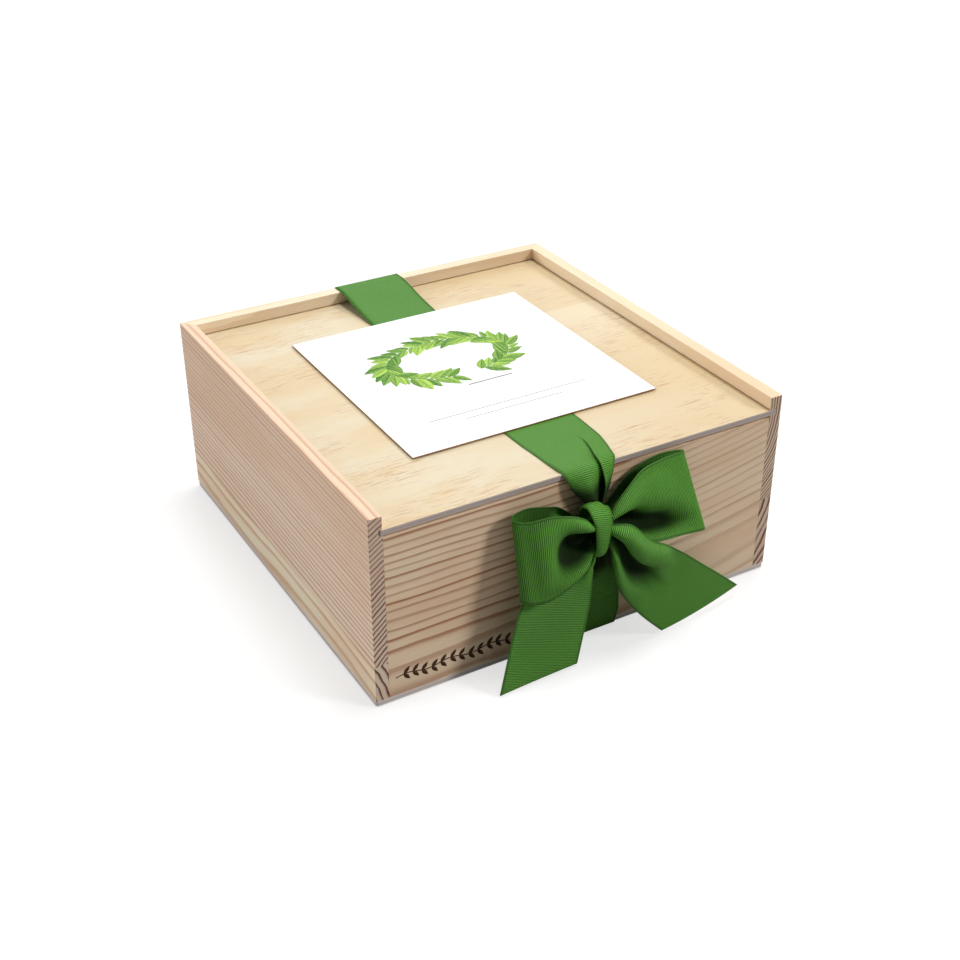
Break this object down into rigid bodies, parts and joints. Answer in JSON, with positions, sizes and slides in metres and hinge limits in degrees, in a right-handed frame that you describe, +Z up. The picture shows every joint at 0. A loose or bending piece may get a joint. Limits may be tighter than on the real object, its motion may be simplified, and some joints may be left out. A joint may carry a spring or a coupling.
{
  "type": "indoor herb planter",
  "caption": "Square pine planter box with a sliding plywood lid, holding a liner, fibre pots, seeds and markers, tied with a wide grosgrain ribbon and bow.",
  "frame": {"origin": "centre of the box's footprint, on the surface it stands on", "axes": "+Z up, +Y from the bow at the front to the back, +X to the right seen from the front"},
  "size_m": [0.23, 0.2553, 0.1045],
  "materials": {
    "pine": "bare, sanded",
    "plywood": "bare, sanded",
    "brad_steel": "bright",
    "liner": "matt black",
    "coir_fibre": "pressed fibre",
    "soil": "pressed coir",
    "leaflet": "matt",
    "packet_paper": "kraft",
    "marker_wood": "bare",
    "ribbon": "grosgrain",
    "card": "smooth",
    "glue": "clear"
  },
  "bodies": {
    "box": {"left_side_lower_board": "pine", "left_side_upper_board": "pine", "right_side_lower_board": "pine", "right_side_upper_board": "pine", "back_panel": "pine", "front_panel": "pine", "base_panel": "plywood", "base_brads": "brad_steel", "planter_liner": "liner", "coir_pot_1": "coir_fibre", "coir_pot_2": "coir_fibre", "coir_pot_3": "coir_fibre", "coir_pot_4": "coir_fibre", "soil_disc_1": "soil", "soil_disc_2": "soil", "soil_disc_3": "soil", "soil_disc_4": "soil", "growing_guide": "leaflet", "seed_packet_1": "packet_paper", "seed_packet_2": "packet_paper", "seed_packet_3": "packet_paper", "seed_packet_4": "packet_paper", "plant_marker_1": "marker_wood", "plant_marker_2": "marker_wood", "plant_marker_3": "marker_wood", "plant_marker_4": "marker_wood", "ribbon_under_run": "ribbon", "ribbon_back_run": "ribbon"},
    "lid": {"lid_panel": "plywood", "card": "card", "card_glue_dots": "glue", "ribbon_top_run": "ribbon", "ribbon_front_gather": "ribbon", "bow_knot": "ribbon", "bow_loop_left": "ribbon", "bow_loop_right": "ribbon", "bow_tail_left": "ribbon", "bow_tail_right": "ribbon", "ribbon_front_run": "ribbon"}
  },
  "joints": [
    {"name": "lid_slide", "type": "slide", "parent": "box", "child": "lid", "axis": [0, -1, 0], "range_m": [0, 0.229]}
  ]
}
